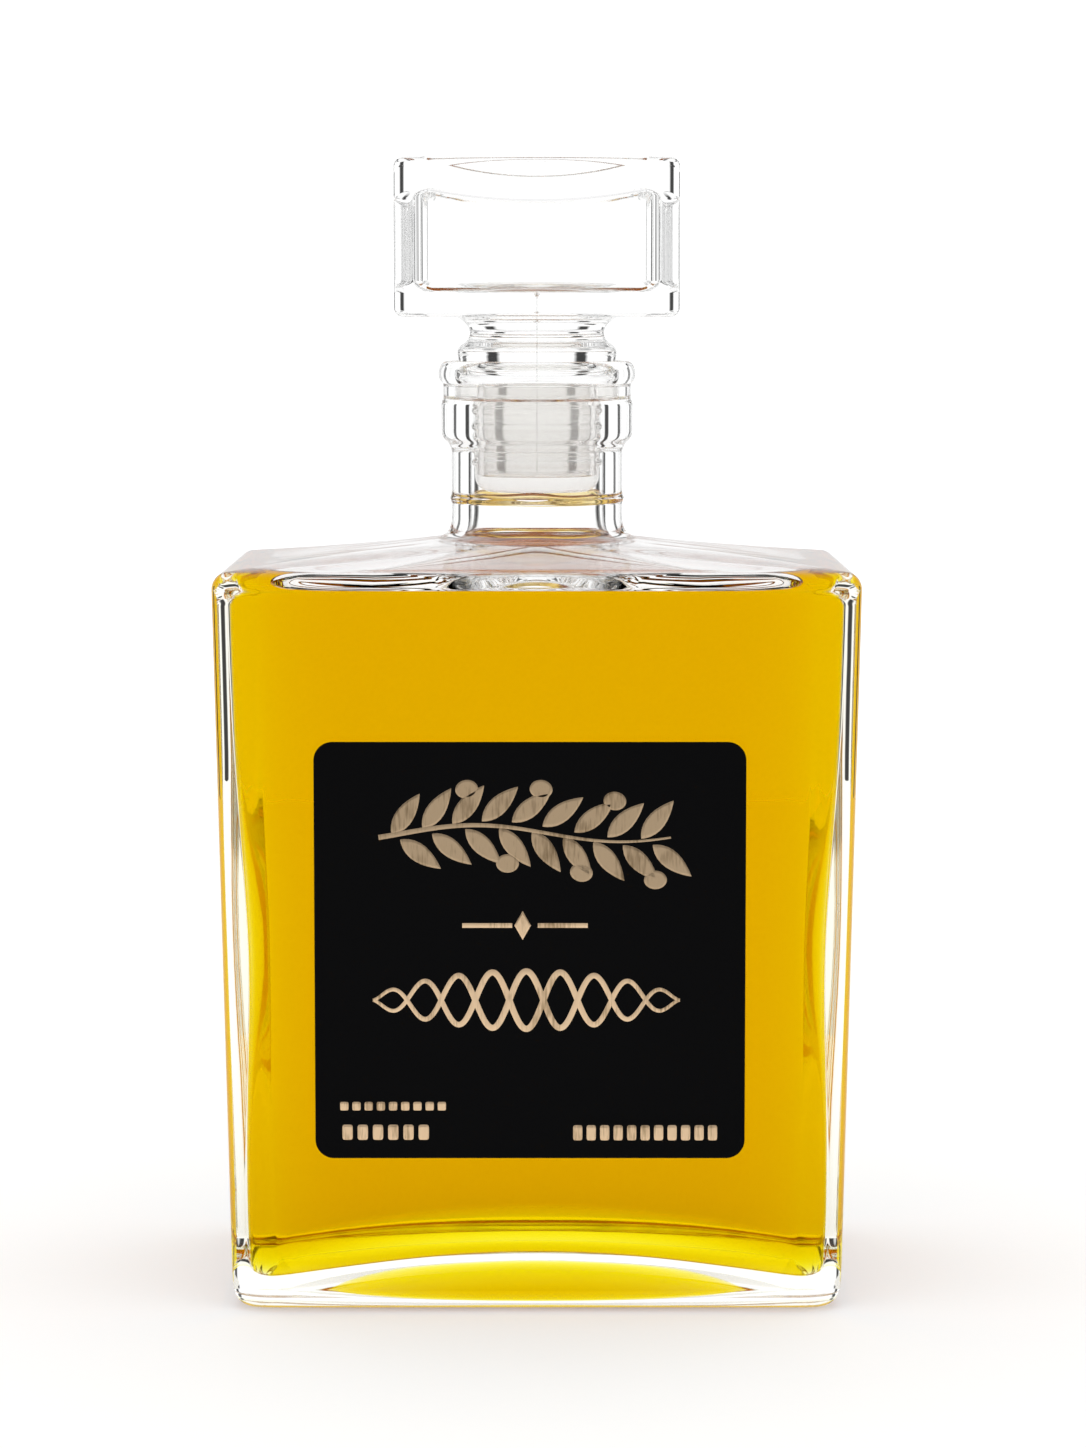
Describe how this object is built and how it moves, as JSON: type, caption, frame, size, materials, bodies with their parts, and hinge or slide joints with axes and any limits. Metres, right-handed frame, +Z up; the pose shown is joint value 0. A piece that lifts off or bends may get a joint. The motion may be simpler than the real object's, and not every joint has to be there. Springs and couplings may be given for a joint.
{
  "type": "olive oil bottle",
  "caption": "Heavy clear glass decanter filled with golden olive oil, with a black front label and a hollow glass stopper held by a soft plastic seal.",
  "frame": {"origin": "on the ground, under the middle of the bottle's base", "axes": "+Z up along the neck, +X to the right across the wide face, -Y towards the labelled front"},
  "size_m": [0.1246, 0.0797, 0.2229],
  "materials": {
    "bottle_glass": "fire-polished clear glass",
    "olive_oil": "clear golden liquid",
    "label_paper": "satin black coated paper with embossed foil",
    "stopper_glass": "fire-polished clear glass",
    "seal_plastic": "milky translucent moulded polyethylene"
  },
  "bodies": {
    "root": {"bottle": "bottle_glass", "oil": "olive_oil", "label": "label_paper", "stopper": "stopper_glass", "stopper_seal": "seal_plastic"}
  },
  "joints": []
}
